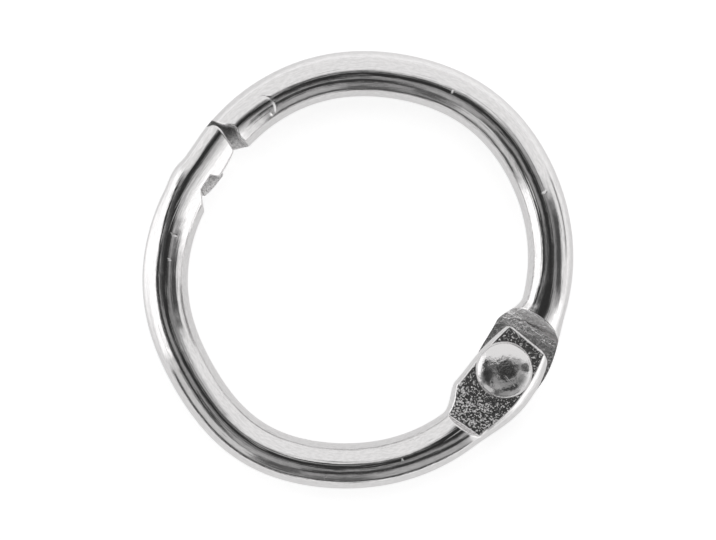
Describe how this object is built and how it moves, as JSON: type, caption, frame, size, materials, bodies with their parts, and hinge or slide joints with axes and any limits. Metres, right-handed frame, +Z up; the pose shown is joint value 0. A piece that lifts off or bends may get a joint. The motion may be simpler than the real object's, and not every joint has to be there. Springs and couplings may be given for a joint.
{
  "type": "binder ring",
  "caption": "Hinged loose-leaf ring of bright round wire: alike half rings pinned by a domed rivet at one end and closed by a lapped catch at the other.",
  "frame": {"origin": "middle of the ring, on the surface that it lies on", "axes": "+X towards the hinge rivet, +Y towards the half whose laps lie underneath, +Z up through the domed head of the rivet"},
  "size_m": [0.0315, 0.0332, 0.0039],
  "materials": {
    "over_half_nickel": "bright nickel plate on steel wire, stamped faces grainy",
    "under_half_nickel": "bright nickel plate on steel wire, stamped faces grainy",
    "rivet_nickel": "bright nickel plate, lightly scuffed"
  },
  "bodies": {
    "over_half": {"over_half": "over_half_nickel", "hinge_rivet": "rivet_nickel"},
    "under_half": {"under_half": "under_half_nickel"}
  },
  "joints": [
    {"name": "ring_hinge", "type": "hinge", "parent": "over_half", "child": "under_half", "pos_m": [0.0132, 0, 0.0017], "axis": [0, 0, -1], "range_deg": [0, 120]}
  ]
}
